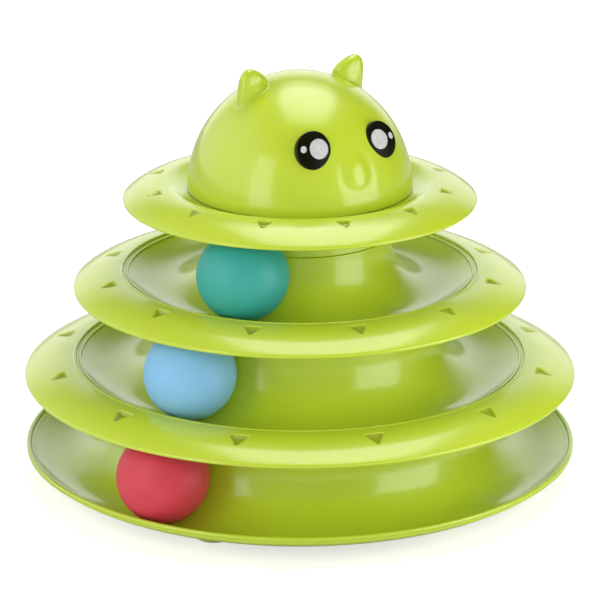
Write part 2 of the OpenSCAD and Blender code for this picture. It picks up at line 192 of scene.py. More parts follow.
def rounded(before, corner, after, r, steps=4):
    """The arc of radius r that touches both sides of a corner, with a point on each side
    just past it. Its centre lies on the corner's bisector, r / sin(half angle) away."""
    before, corner, after = (np.asarray(p, float) for p in (before, corner, after))
    u, v = unit(before - corner), unit(after - corner)
    half = np.arccos(np.clip(u @ v, -1, 1)) / 2
    reach = r / np.tan(half)
    centre = corner + unit(u + v) * r / np.sin(half)
    start, end = corner + u * reach - centre, corner + v * reach - centre
    sweep = np.linspace(0, 1, steps + 1)[:, None]
    angle = np.pi - 2 * half
    bow = (np.sin((1 - sweep) * angle) * start + np.sin(sweep * angle) * end) / np.sin(angle)
    ease = 0.3 * r
    return np.concatenate([[corner + u * (reach + ease)], centre + bow, [corner + v * (reach + ease)]])


def soft_path(points, radii, steps=4):
    """A line of corners, each rounded by its own radius; 0 keeps the point, and the ends stay."""
    points = np.asarray(points, float)
    parts = [points[:1]]
    for k, r in enumerate(radii, start=1):
        parts.append(rounded(points[k - 1], points[k], points[k + 1], r, steps) if r else points[k:k + 1])
    return np.concatenate(parts + [points[-1:]])


def brim_bow(i):
    """Centre, radius and end angles of the arc along the middle of a brim's wall, and its tip. It
    bulges over the line between its ends, so r = (half length^2 + bulge^2) / (2 bulge)."""
    a = np.array([crease_r(i), crease_z(i) - wall / 2])
    b = np.array([brim_r(i) - wall / 2, floor_z(i) - edge_drop])
    half = np.linalg.norm(b - a) / 2
    r = (half**2 + brim_bulge**2) / (2 * brim_bulge)
    along = unit(b - a)
    centre = (a + b) / 2 - (r - brim_bulge) * np.array([-along[1], along[0]])
    start, end = (np.degrees(np.arctan2(*(p - centre)[::-1])) for p in (a, b))
    return centre, r, start, end, b


def mark_band(i):
    """Angles on the brim's skin between which the sunk triangles lie, and of their middle."""
    centre, r = brim_bow(i)[:2]
    long, inset = mark_size(i)[1:]
    skin = r + wall / 2
    middle = np.degrees(np.arccos((crease_r(i) + inset - centre[0]) / skin))
    margin = np.degrees((long / 2 + mark_margin) / skin)
    return middle + margin, middle - margin, middle


def brim_skin(i):
    """Top of a brim from its crest to the band of triangles, and from there round the tip and
    back along the underside."""
    centre, r, start, end, tip = brim_bow(i)
    band_in, band_out = mark_band(i)[:2]
    inner = arc(centre, r + wall / 2, start, band_in, brim_in_steps)
    outer = np.concatenate([
        arc(centre, r + wall / 2, band_out, end, brim_out_steps),
        arc(tip, wall / 2, end, end - 180, tip_steps)[1:-1],
        arc(centre, r - wall / 2, end, start, tip_steps)])
    return inner, outer


def hub_skin(i):
    """Deck, its rounded edge, the peg wall, the step and the upper end of the hub."""
    step = collar_z(i + 1) - seat_gap
    return soft_path(
        [(hub_r(i) - deck_w, deck_z(i) - wall / 2), (hub_r(i) - deck_w, deck_z(i)), (peg_r(i), deck_z(i)),
         (peg_r(i), step), (hub_r(i), step), (hub_r(i), floor_z(i) + groove_r + arc_lead)],
        [corner_r, deck_round, fine_r, corner_r])


def groove_skin(i):
    """Ball groove and the dish outside it, as far as its bead: two arcs that meet at the track's
    lowest ring."""
    end = np.degrees(np.arcsin((track_out - land_reach) / outer_groove_r))
    x, z = track_r(i), floor_z(i)
    return np.concatenate([
        arc((x, z + groove_r), groove_r, 180, 270, groove_steps),
        arc((x, z + outer_groove_r), outer_groove_r, 270, 270 + end, dish_steps)[1:]])


def land_skin(i):
    """A fine bead at the dish's edge, the flatter band outside it, a groove and the crest's bead."""
    path = np.concatenate([groove_skin(i)[-1] + edge_bead, [crease_r(i), crease_z(i)] + np.array(crest_bead)])
    return soft_path(path, land_rounds, bead_steps)[1:-1]


def under_skin(i, outer_end):
    """Underside from the dish in and up inside the hub, round the collar where there is one."""
    track, z = track_r(i), floor_z(i)
    outer, inner = outer_groove_r + wall, groove_r + wall
    low_out, low_in = 270.0, 270.0
    collar = np.empty((0, 2))
    if i:
        r_out = hub_r(i - 1)
        r_in, bottom = r_out - collar_w, collar_z(i)
        low_out += np.degrees(np.arcsin((r_out + collar_fillet - track) / outer))
        low_in += np.degrees(np.arcsin((r_in - collar_fillet - track) / inner))
        top_out = arc((track, z + outer_groove_r), outer, low_out, low_out, 0)[0]
        top_in = arc((track, z + groove_r), inner, low_in, low_in, 0)[0]
        collar = soft_path(
            [top_out, (r_out, top_out[1]), (r_out, bottom), (r_in, bottom), (r_in, top_in[1]), top_in],
            [corner_r, edge_r, edge_r, corner_r])[1:-1]
    hub_in, peg_in, hole = hub_r(i) - wall, peg_r(i) - wall, hub_r(i) - deck_w
    step = collar_z(i + 1) - seat_gap - wall
    return np.concatenate([
        arc((track, z + outer_groove_r), outer, outer_end, low_out, under_out_steps), collar,
        arc((track, z + groove_r), inner, low_in, 180, under_in_steps)[0 if i else 1:],
        soft_path([(hub_in, z + groove_r + arc_lead), (hub_in, step), (peg_in, step),
                   (peg_in, deck_z(i) - wall), (hole, deck_z(i) - wall), (hole, deck_z(i) - wall / 2)],
                  [corner_r, fine_r, corner_r, corner_r])[:-1]])


# Meshes

def scene_object(name, data):
    """A new object that stands in the scene."""
    thing = bpy.data.objects.new(name, data)
    bpy.context.scene.collection.objects.link(thing)
    return thing


def new_piece(name, shape, body, slot, material, *replaced):
    """A mesh object from points in millimetres and faces, welded, with its faces turned outwards."""
    points, faces = shape
    mesh = bpy.data.meshes.new(name)
    mesh.from_pydata((points.reshape(-1, 3) * MM).tolist(), [], faces.tolist())
    bm = bmesh.new()
    bm.from_mesh(mesh)
    bmesh.ops.remove_doubles(bm, verts=bm.verts, dist=2e-7)
    bmesh.ops.dissolve_degenerate(bm, dist=1e-8, edges=bm.edges)
    bmesh.ops.recalc_face_normals(bm, faces=bm.faces)
    bm.to_mesh(mesh)
    bm.free()
    mesh.shade_smooth()
    mesh.materials.append(material)
    piece = scene_object(name, mesh)
    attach(piece, body)
    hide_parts(*replaced)


def grid(points, closed_rows=False, closed_cols=False):
    """A grid of points and its quads; point (row, col) is number row * cols + col."""
    rows, cols = points.shape[:2]
    r = np.arange(rows if closed_rows else rows - 1)
    c = np.arange(cols if closed_cols else cols - 1)
    r, c = np.meshgrid(r, c, indexing="ij")
    r1, c1 = (r + 1) % rows, (c + 1) % cols
    quads = np.stack([r * cols + c, r * cols + c1, r1 * cols + c1, r1 * cols + c], -1)
    return points, quads.reshape(-1, 4)


def merged(parts):
    """Several (points, faces) sets as one, with the faces renumbered."""
    points, faces, count = [], [], 0
    for p, f in parts:
        points.append(np.asarray(p).reshape(-1, 3))
        faces.append(np.asarray(f) + count)
        count += len(points[-1])
    return np.concatenate(points), np.concatenate(faces)


def circle(count):
    """Angles of evenly spaced points round a circle, in radians."""
    return np.linspace(0, 2 * np.pi, count, endpoint=False)


def round_tower(r, z, turns):
    """Points at radius r, height z and angle turns: (r sin t, -r cos t, z)."""
    t = np.radians(turns)
    return np.stack(np.broadcast_arrays(r * np.sin(t), -r * np.cos(t), z), -1)


def key_half_turn(i, gap=0.0):
    """Half the angle that a key spans on a tier's peg, or a slot with a gap on each side."""
    return np.degrees(np.arcsin((key_w / 2 + gap) / peg_r(i)))


def sector_turns(i):
    """Angles across one sector, from its edge to its middle and on, closer at key and slot sides."""
    half, side_step, side_clear = 180 / mark_count, 0.25, 0.45
    base = np.linspace(0, half, half_sector_points)
    sides = []
    if i < CAP:
        sides.append(key_half_turn(i))
    if i:
        sides.append(key_half_turn(i - 1, fit_gap))
    extra = np.concatenate([[side, side + side_step] for side in sides])
    far = np.abs(base[:, None] - extra[None, :]).min(1) > side_clear
    base = np.sort(np.concatenate([base[far | (base == 0) | (base == half)], extra]))
    return np.concatenate([base, 2 * half - base[-2::-1]])


def tower_turns(i):
    """Angles right round a tier, sector after sector."""
    return np.concatenate([k * 360 / mark_count + sector_turns(i)[:-1] for k in range(mark_count)])


def near_key(turns, half_turn):
    """True where an angle lies on one of the keys."""
    off = (turns - key_turn + 180 / key_count) % (360 / key_count) - 180 / key_count
    return np.abs(off) <= half_turn + 1e-6


def mark_outline(i, count_top, count_side):
    """Rounded triangle as base points and outward angles: the sharp triangle is drawn in by the
    corner radius, and points spaced evenly round the rounded one lie corner radius along their
    outward angle from it. The first point is at the left end of the wide side's share."""
    wide, long = mark_size(i)[:2]
    sharp = np.array([[-wide / 2, long / 2], [wide / 2, long / 2], [0, -long / 2]])
    sides = [unit(side) for side in np.roll(sharp, -1, 0) - sharp]
    inner = []
    for k in range(3):
        u, v = -sides[k - 1], sides[k]
        half = np.arccos(np.clip(u @ v, -1, 1)) / 2
        inner.append(sharp[k] + unit(u + v) * mark_round / np.sin(half))
    inner = np.array(inner)
    ends = np.roll(inner, -1, 0)
    runs = np.linalg.norm(ends - inner, axis=1)
    out = np.unwrap([np.arctan2(side[0], -side[1]) for side in sides])
    turned = out - np.append(out[1:], out[0] - 2 * np.pi)
    # Each side's straight run is followed by its corner's arc
    along = np.append(0, np.cumsum(np.stack([runs, turned * mark_round], 1)))
    x, y = np.concatenate([inner[:1], np.repeat(ends, 2, 0)]).T
    angles = np.append(np.repeat(out, 2), out[0] - 2 * np.pi)
    count = 2 * (count_top + count_side)
    first = runs[0] / 2 - count_top / 2 / count * along[-1]
    s = (first + np.arange(count) / count * along[-1]) % along[-1]
    return np.stack([np.interp(s, along, x), np.interp(s, along, y)], 1), np.interp(s, along, angles)


def brim_sector(i, k, turns):
    """One sector of a brim's top with its sunk triangle. Each ring has an offset out from the
    rounded triangle's line and a depth below the brim's arc: they run over the pocket's floor,
    round a quarter circle up to its drafted wall and round another over its rim. The last rings
    blend into the sector's four edges by their share of the way to the power 1.5."""
    centre, r = brim_bow(i)[:2]
    skin = r + wall / 2
    band_in, band_out, middle = mark_band(i)
    levels = np.linspace(band_in, band_out, mark_side_steps + 1)
    local = turns - mark_turn
    edges = ((local[:-1], band_in), (local[-1], levels[:-1]),
             (local[:0:-1], band_out), (local[0], levels[:0:-1]))
    edge = np.concatenate([np.stack(np.broadcast_arrays(*pair), 1) for pair in edges])
    base, out = mark_outline(i, len(turns) - 1, mark_side_steps)
    bend = np.radians([0, 22, 45, 68, 90])
    offsets = np.concatenate([
        -mark_draft - mark_cove * np.cos(bend), [-mark_draft / 2],
        mark_rim * (1 - np.sin(bend[::-1])), [mark_rim + mark_clear]])
    depths = np.concatenate([
        mark_depth - mark_cove * (1 - np.cos(bend)), [(mark_depth - mark_cove + mark_rim) / 2],
        mark_rim * (1 - np.cos(bend[::-1])), [0]])
    normal = np.stack([np.cos(out), np.sin(out)], 1)
    walls = base[None] + (mark_round + offsets)[:, None, None] * normal[None]
    core = base.mean(0)
    floor_shares = np.array([0, 0.35, 0.7])
    pocket = np.concatenate([core + (walls[0] - core)[None] * floor_shares[:, None, None], walls])
    level = middle + np.degrees(pocket[..., 1] / skin)
    radius = centre[0] + skin * np.cos(np.radians(level))
    near = np.stack([np.degrees(np.arcsin(pocket[..., 0] / radius)), level], -1)
    blend = np.linspace(0, 1, blend_rings + 1)[1:, None, None] ** 1.5
    far = near[-1][None] * (1 - blend) + edge[None] * blend
    place = np.concatenate([near, far])
    sink = np.concatenate([np.full(len(floor_shares), mark_depth), depths, np.zeros(len(far))])[:, None]
    level = np.radians(place[..., 1])
    radius = centre[0] + (skin - sink) * np.cos(level)
    height = centre[1] + (skin - sink) * np.sin(level)
    points = round_tower(radius, height, place[..., 0] + mark_turn + k * 360 / mark_count)
    return grid(points, closed_cols=True)


def with_keys(i, outline, turns):
    """The tray's lathe points, pushed out at the keys and in at the collar's slots."""
    z, flush, past_fillet = outline[:, 1], 0.01, 0.05
    r = np.tile(outline[:, 0], (len(turns), 1))
    if i < CAP:
        on_peg = (np.abs(outline[:, 0] - peg_r(i)) < flush) & (z < deck_z(i) - deck_round - 2 * arc_lead)
        turned = near_key(turns, key_half_turn(i))
        r[np.ix_(turned, on_peg)] = peg_r(i) + key_d
    if i:
        inner = hub_r(i - 1) - collar_w
        slot_r = peg_r(i - 1) + key_d + fit_gap
        low = (z < floor_z(i) - wall - arc_lead) & (outline[:, 0] < slot_r)
        low &= outline[:, 0] > inner - collar_fillet - past_fillet
        turned = near_key(turns, key_half_turn(i - 1, fit_gap))
        # A fiftieth of the outline's own width stays, so that no two points of it meet
        r[np.ix_(turned, low)] = (slot_r + 0.02 * (outline[low, 0] - slot_r))[None, :]
    return round_tower(r, z[None, :], turns[:, None])


def tray_mesh(i, top, outer, rest):
    """A tray as one closed surface. top runs to the band of triangles, outer on from it, and
    rest back to the start; the band itself is made sector by sector."""
    # The outline isn't closed from top to outer: the band between them is made apart
    outline = np.concatenate([outer, rest, top])
    shell = grid(with_keys(i, outline, tower_turns(i)), closed_rows=True)
    return merged([shell] + [brim_sector(i, k, sector_turns(i)) for k in range(mark_count)])


def foot_place(k):
    """Middle of a foot in plan."""
    return round_tower(track_r(0) - foot_in, 0, foot_turn + k * 360 / foot_count)[:2]


def foot_boss(k):
    """A moulded foot: a drafted round post whose upper end follows the tray's underside.
    Row heights run from the sole to that height, and the post flares where it meets it."""
    middle = foot_place(k)
    t = circle(foot_turns)[None, :]
    sole, post, socket = pad_t - pad_inset, boss_r - boss_draft, pad_r + pad_gap
    arc_z, under_r = floor_z(0) + groove_r, groove_r + wall
    ring = middle[:, None] + boss_r * np.stack([np.cos(t[0]), np.sin(t[0])])
    # Held 0.3 inside the arc's upright end and 1 below its centre
    away = np.clip(track_r(0) - np.hypot(*ring), 0, under_r - 0.3)
    top = np.minimum(arc_z - np.sqrt(under_r**2 - away**2), arc_z - 1) + boss_into
    share = np.array([0.02, 0.3, 0.6, 0.85, 0.95, 1.0])[:, None]
    flare = np.array([0, 0, 0, 0.15, 0.5, 1.2])[:, None]
    height = sole + boss_edge + (top[None, :] - sole - boss_edge) * share
    radius = post + boss_draft * (height - sole) / (arc_z - sole) + flare
    low = np.array([
        (0, pad_t), (pad_r * 0.6, pad_t), (socket, pad_t), (socket, sole + boss_bevel),
        (socket + boss_bevel, sole), (post - boss_edge, sole), (post - 0.1, sole + 0.1),
        (post, sole + boss_edge)])
    r = np.concatenate([low[:, :1] + 0 * t, radius, np.array([[post * 0.6], [0]]) + 0 * t])
    z = np.concatenate([low[:, 1:] + 0 * t, height, np.full((2, foot_turns), top.min())])
    points = np.stack([middle[0] + r * np.cos(t), middle[1] + r * np.sin(t), z], -1)
    return grid(points, closed_cols=True)


def base_tray_mesh():
    """The base tray: hub, groove, dish and a rounded lip, with six moulded feet below."""
    x, z = track_r(0) + track_out, floor_z(0) + dish_rise
    lip = arc((x + land_w - lip_r, z + land_rise / 2), lip_r - box_gap, 150, -60, lip_steps)
    path = np.concatenate([groove_skin(0)[-1] + lip_ridge, [x, z] + np.array(lip_groove), lip[:1]])
    # The underside's arc runs on a little, to end inside the lip
    under = under_skin(0, 270 + dish_angle + 1.5)
    outline = np.concatenate([
        hub_skin(0), groove_skin(0)[1:-1], soft_path(path, lip_rounds, bead_steps)[1:-1], lip, under])
    shell = grid(with_keys(0, outline, tower_turns(0)), closed_rows=True, closed_cols=True)
    return merged([shell] + [foot_boss(k) for k in range(foot_count)])


def brimmed_tray_mesh(i):
    """A brimmed tray: hub, groove, dish, bead and channel, then the brim with its triangles."""
    inner, outer = brim_skin(i)
    top = np.concatenate([hub_skin(i), groove_skin(i)[1:-1], land_skin(i), inner[1:]])
    return tray_mesh(i, top, outer, under_skin(i, 270 + dish_angle))


def gutter(drop, steps):
    """Wavy gutter from the head's ring out to the brim's crest, lowered by drop. Over the share s
    of the way its height climbs by (1 - cos(pi s)) / 2 of the difference."""
    s = np.linspace(0, 1, steps + 1)
    r0, r1, z1 = head_r + gutter_lead, crease_r(CAP), crease_z(CAP)
    return np.stack([r0 + (r1 - r0) * s, ring_z + (z1 - ring_z) * (1 - np.cos(np.pi * s)) / 2 - drop], 1)


def cap_brim_mesh():
    """The cap: seat flange, ring, gutter, crest, brim with its triangles, and the neck below."""
    inner, outer = brim_skin(CAP)
    seat, neck_in = floor_z(CAP), neck_r - collar_w
    flange_in, low = neck_r - deck_w, collar_z(CAP)
    wave = gutter(0, gutter_steps)
    top = np.concatenate([
        soft_path([(flange_in, seat - wall / 2), (flange_in, seat), (neck_in, seat), (neck_in, ring_z),
                   (head_r, ring_z), wave[1]], [edge_r, fine_r, edge_r, 0])[:-1],
        wave[1:-1], inner])
    arc_z = ring_z - wall - neck_round
    rest = np.concatenate([
        gutter(wall, gutter_under_steps)[::-1][1:],
        arc((neck_r + neck_round, arc_z), neck_round, 90, 180, neck_steps),
        soft_path([(neck_r, arc_z - 2 * arc_lead), (neck_r, low), (neck_in, low), (neck_in, seat - wall),
                   (flange_in, seat - wall), (flange_in, seat - wall / 2)],
                  [edge_r, edge_r, fine_r, edge_r])[:-1]])
    return tray_mesh(CAP, top, outer, rest)


def head_top(x, y):
    """Height of the head's oval skin over a point: z = z0 + h sqrt(1 - (x^2 + y^2) / r^2)."""
    return head_z + head_h * np.sqrt(np.clip(1 - (x**2 + y**2) / head_r**2, 0, 1))


def head_profile(inset, steps):
    """Tucked-in lower edge and quarter oval of the head, (a cos t, b sin t) over its foot, both
    shrunk by inset."""
    a, b = head_r - inset, head_h - inset
    low = np.arcsin(head_curl_r / b)
    t = np.linspace(low, np.pi / 2, steps + 1)[1:]
    oval = np.stack([a * np.cos(t), head_z + b * np.sin(t)], 1)
    oval[-1, 0] = 0
    curl = arc((curl_x, head_z + head_curl_r), head_curl_r - inset, 270, 360, curl_steps)
    return np.concatenate([curl, oval])


def nose_push(points):
    """Skin points pushed along the nose's axis. From the nose's middle out to the ring pressed
    round it, the push falls by a half cosine of the distance's share to the power 1.8, and it
    rises by another half cosine to the skin again. The upper half is drawn out upwards, and the
    ring is deepest below and fades out above."""
    c = np.radians(nose_climb)
    middle = np.array([0, -head_r * np.cos(c), head_z + head_h * np.sin(c)])
    axis = unit(np.array([0, -np.cos(c) / head_r, np.sin(c) / head_h]))
    up = np.cross(axis, [1, 0, 0])
    off = points - middle
    along, climb = off @ axis, off @ up
    drawn = np.where(climb > 0, climb / nose_stretch, climb)
    s = np.hypot(off[..., 0], drawn)
    below = np.clip(nose_ring_even - nose_ring_fade * drawn / np.maximum(s, 1e-9), 0, 1)
    ring_d = nose_ring_d * below * below * (3 - 2 * below)
    inner = (nose_h + ring_d) * (1 + np.cos(np.pi * (s / nose_ring_r) ** nose_power)) / 2 - ring_d
    rise = np.clip((s - nose_ring_r) / (nose_r - nose_ring_r), 0, 1)
    outer = -ring_d * (1 + np.cos(np.pi * rise)) / 2
    push = np.where(s < nose_ring_r, inner, outer) * (along > -nose_r)
    return points + push[..., None] * axis


def head_mesh():
    """The hollow head on its spigot: one outline from the outer pole round to the inner one."""
    bottom, inside = floor_z(CAP) + seat_gap, spigot_r - wall
    outer = head_profile(0, head_steps)[::-1]
    inner = head_profile(wall, head_in_steps)
    skirt = soft_path([(curl_x, head_z), (spigot_r, head_z), (spigot_r, bottom), (inside, bottom),
                       (inside, head_z + wall), (curl_x, head_z + wall)],
                      [fine_r, edge_r, edge_r, fine_r])[1:-1]
    outline = np.concatenate([outer, skirt, inner])
    turns = np.linspace(0, 360, head_turns, endpoint=False)
    points = round_tower(outline[None, :, 0], outline[None, :, 1], turns[:, None])
    points[:, :len(outer)] = nose_push(points[:, :len(outer)])
    return grid(points, closed_rows=True)


def ear_mesh(side):
    """An ear, as loops whose height blends from the head's skin to the tip's level, with u from
    foot to tip. Its inner side runs in as (1 - u^1.8)^0.62, its outer one as sqrt(1 - u^5), and
    its thickness falls as sqrt(1 - u^3.2). It leans forward, its front is a shallow dish, and its
    foot flares in a quarter circle."""
    phi = circle(ear_turns)[None, :]

    def loops(u, off):
        x_out = ear_place + ear_out * np.sqrt(1 - u**5)
        x_in = ear_place - ear_in * (1 - u**1.8) ** 0.62
        half_t = ear_t / 2 * np.sqrt(1 - u**3.2)
        x = (x_out + x_in) / 2 + ((x_out - x_in) / 2 + off) * np.sin(phi)
        y = -(half_t + off) * np.cos(phi) - ear_forward * u
        # The dish narrows upwards as sqrt(1 - u / 0.9), and its depth starts as a squared sine
        width = 0.85 * np.sqrt(np.clip(1 - u / 0.9, 1e-6, 1))
        dish = np.clip(1 - (np.sin(phi) / width) ** 2, 0, 1) ** 2 * (np.cos(phi) > 0)
        return side * x, y + ear_hollow * dish * np.sin(np.pi / 2 * np.clip(u * 2.5, 0, 1)) ** 2

    bend = np.radians(np.linspace(0, 90, ear_foot_steps + 1))[:-1, None]
    x, y = loops(0 * bend, ear_flare * (1 - np.sin(bend)))
    foot = np.stack([x, y, head_top(x, y) + ear_flare * (1 - np.cos(bend))], -1)
    u = 1 - (1 - np.linspace(0, 1, ear_steps)[:, None]) ** 2
    x, y = loops(u, 0)
    body = np.stack([x, y, (1 - u) * (head_top(x, y) + ear_flare) + u * (head_z + ear_top)], -1)
    sunk = foot[:1] - [0, 0, ear_root]
    root = np.tile(sunk.mean(1, keepdims=True), (1, ear_turns, 1))
    points = np.concatenate([root, sunk, foot, body])
    return grid(points, closed_cols=True)


def eye_frame(side):
    """Matrix from an eye's own axes, x across, y up and z out of its front, to the tower's."""
    climb, turn = np.radians(eye_climb), np.radians(eye_turn)
    place = Matrix.Translation((side * head_r * np.cos(climb) * np.sin(turn),
                                -head_r * np.cos(climb) * np.cos(turn), head_z + head_h * np.sin(climb)))
    spin = [Matrix.Rotation(np.radians(a), 4, axis)
            for a, axis in ((side * eye_aim, "Z"), (90 - eye_tilt, "X"), (side * eye_lean, "Z"))]
    return np.array(place @ spin[0] @ spin[1] @ spin[2])


def placed(points, matrix):
    """Points turned and moved by a matrix."""
    return points @ matrix[:3, :3].T + matrix[:3, 3]


def dome_z(x, y):
    """Height of an eye's domed front over its own plane: proud - r + sqrt(r^2 - x^2 - y^2)."""
    return eye_proud - eye_dome_r + np.sqrt(eye_dome_r**2 - x**2 - y**2)


def skin_depth(points, direction):
    """How far along a direction each point lies from the head's oval, by the quadratic rule."""
    size = np.array([head_r, head_r, head_h])
    o, d = (points - [0, 0, head_z]) / size, direction / size
    a, b, c = d @ d, 2 * (o @ d), (o * o).sum(-1) - 1
    return (-b - np.sqrt(np.clip(b * b - 4 * a * c, 0, None))) / (2 * a)


def eye_mesh(side):
    """A domed oval with a rounded rim. Rings run from the middle of its front to the quarter
    circle of its rim, down its side into the head's skin and back under it."""
    matrix = eye_frame(side)
    a = circle(eye_turns)[None, :]
    share = np.array([0, 0.15, 0.3, 0.45, 0.6, 0.72, 0.82, 0.9])[:, None]
    bend = np.radians([15, 30, 45, 60, 75, 90])[:, None]
    rim_in = eye_rim * (1 - np.sin(bend))
    x = np.concatenate([eye_w / 2 * share, eye_w / 2 - rim_in]) * np.cos(a)
    y = np.concatenate([eye_h / 2 * share, eye_h / 2 - rim_in]) * np.sin(a)
    z = dome_z(x, y)
    z[-len(bend):] -= eye_rim * (1 - np.cos(bend))
    front = np.stack([x, y, z], -1)
    # The back lies just under the head's skin, which is looked for from well ahead of the eye
    back = front[-1] * np.array([1.0, 0.7, 0.35, 0])[:, None, None]
    back[..., 2] = eye_ahead
    back[..., 2] -= skin_depth(placed(back, matrix), -matrix[:3, 2]) + eye_sunk
    points = placed(np.concatenate([front, back]), matrix)
    return grid(points, closed_cols=True)


def spot_mesh(x0, y0, w, h):
    """A thin printed oval that follows the eye's dome, thinning to nothing at its edge."""
    a = circle(spot_turns)[None, :]
    share = np.array([0, 0.25, 0.5, 0.75, 0.9, 0.96, 0.985, 1.0, 0.985, 0.5, 0])[:, None]
    height = np.array([ink_t] * 5 + [0.15, 0.11, 0.0] + [-ink_sunk] * 3)[:, None]
    x = x0 + w / 2 * share * np.cos(a)
    y = y0 + h / 2 * share * np.sin(a)
    points = np.stack([x, y, dome_z(x, y) + height], -1)
    return grid(points, closed_cols=True)


def eye_print_mesh(side):
    """The white pupil and its small glint, both on the eye's front."""
    matrix = eye_frame(side)
    spots = [spot_mesh(-side * pupil_in, pupil_up, pupil_w, pupil_h),
             spot_mesh(side * glint_out, -glint_down, glint_w, glint_h)]
    return merged([(placed(p, matrix), f) for p, f in spots])


def ball_centre(color):
    """Where a ball rests at its turn round its own tray."""
    i = list(ball_turns).index(color)
    return round_tower(track_r(i), floor_z(i) + ball_r + ball_gap, ball_turns[color])


def ball_half_mesh(color, outward):
    """Half a hollow ball, turned about the line out from the tower. Its outline is a quarter
    circle from the pole to the seam, the seam's lip or rebate, and the quarter circle inside."""
    inner, middle = ball_r - ball_wall, ball_r - ball_wall / 2
    shell = arc((0, 0), ball_r, 90, np.degrees(seam_edge / ball_r), ball_steps)
    hollow = arc((0, 0), inner, np.degrees(np.arcsin(seam_lip_h / inner)), 90, ball_in_steps)
    if outward > 0:
        seam = [(ball_r - seam_edge, 0), (middle - seam_gap, 0), (middle - seam_gap, -seam_lip_h),
                (inner, -seam_lip_h), (inner, seam_lip_top)]
    else:
        seam = [(ball_r - seam_edge, seam_gap / 2), (middle, seam_gap / 2), (middle, seam_lip_h + seam_gap)]
    outline = np.concatenate([shell, seam, hollow])
    turns = circle(ball_turn_steps)
    out = unit(round_tower(1.0, 0.0, ball_turns[color])) * outward
    across = np.cross(out, [0, 0, 1])
    r, h = outline[:, 0], outline[:, 1]
    r[0] = r[-1] = 0
    spin = np.cos(turns)[:, None] * across + np.sin(turns)[:, None] * np.array([0, 0, 1])
    points = ball_centre(color) + r[None, :, None] * spin[:, None, :] + h[None, :, None] * out
    return grid(points, closed_rows=True)


def pad_mesh(k):
    """A soft round pad, turned from an outline with rounded edges and one shallow ring in its sole."""
    middle = foot_place(k)
    ring = np.stack([pad_r * np.array([0.6, 0.63, 0.68, 0.71]), [0, pad_ring_d, pad_ring_d, 0]], 1)
    outline = np.concatenate([
        [(0, 0)], ring, arc((pad_r - pad_edge, pad_edge), pad_edge, -90, 0, 5),
        arc((pad_r - pad_top_edge, pad_t - pad_top_edge), pad_top_edge, 0, 90, 3), [(0, pad_t)]])
    turns = circle(pad_turns)[:, None]
    r, z = outline[:, 0], outline[:, 1]
    points = np.stack(np.broadcast_arrays(
        middle[0] + r * np.cos(turns), middle[1] + r * np.sin(turns), z), -1)
    return grid(points, closed_rows=True)


# Materials

def node_group(name, inputs, outputs):
    """An empty shader group that takes a Vector and numbers and gives numbers."""
    group = bpy.data.node_groups.new(name, "ShaderNodeTree")
    group.interface.new_socket("Vector", in_out="INPUT", socket_type="NodeSocketVector")
    for kind, names in (("INPUT", inputs), ("OUTPUT", outputs)):
        for socket in names:
            group.interface.new_socket(socket, in_out=kind, socket_type="NodeSocketFloat")
    return group, group.nodes.new("NodeGroupInput"), group.nodes.new("NodeGroupOutput")


def math_node(tree, operation, a, b=0.0, clamp=False):
    """A maths node's result, with each input linked if it is a socket and set if it is a number."""
    node = tree.nodes.new("ShaderNodeMath")
    node.operation, node.use_clamp = operation, clamp
    for socket, value in zip(node.inputs, (a, b)):
        if isinstance(value, bpy.types.NodeSocket):
            tree.links.new(value, socket)
        else:
            socket.default_value = value
    return node.outputs[0]


def smooth_step(tree, value, start, end):
    """0 to 1 as a value's share s of the way from start to end gives 3 s^2 - 2 s^3."""
    ease = tree.nodes.new("ShaderNodeMapRange")
    ease.interpolation_type = "SMOOTHSTEP"
    ease.inputs["From Min"].default_value, ease.inputs["From Max"].default_value = start, end
    tree.links.new(value, ease.inputs["Value"])
    return ease.outputs["Result"]


def noise_node(tree, vector, scale, detail, rough=0.5):
    """Noise with scale waves a metre."""
    node = tree.nodes.new("ShaderNodeTexNoise")
    tree.links.new(vector, node.inputs["Vector"])
    for socket, value in (("Scale", scale), ("Detail", detail), ("Roughness", rough)):
        node.inputs[socket].default_value = value
    return node.outputs[0]


def moulded_group():
    """Moulded plastic: slow cloudy flow of the melt, fine ripple of the skin, and tiny specks.
    Cloud runs 0 to 1, Height in metres is each noise times its given size, and Rub marks where
    handling has dulled the gloss: 3 times what a slow noise has over 0.45, held to 0 to 1."""
    group, given, out = node_group("moulded_plastic", ["Ripple", "Speck"], ["Cloud", "Height", "Rub"])
    vector = given.outputs["Vector"]
    cloud = noise_node(group, vector, 22.0, 3.0)
    ripple = noise_node(group, vector, 260.0, 2.0)
    speck = noise_node(group, vector, 2600.0, 2.0, 0.6)
    rub = noise_node(group, vector, 70.0, 5.0, 0.65)
    height = math_node(group, "ADD", math_node(group, "MULTIPLY", ripple, given.outputs["Ripple"]),
                       math_node(group, "MULTIPLY", speck, given.outputs["Speck"]))
    worn = math_node(group, "MULTIPLY", math_node(group, "SUBTRACT", rub, 0.45), 3.0, True)
    for value, socket in ((cloud, "Cloud"), (height, "Height"), (worn, "Rub")):
        group.links.new(value, out.inputs[socket])
    return group


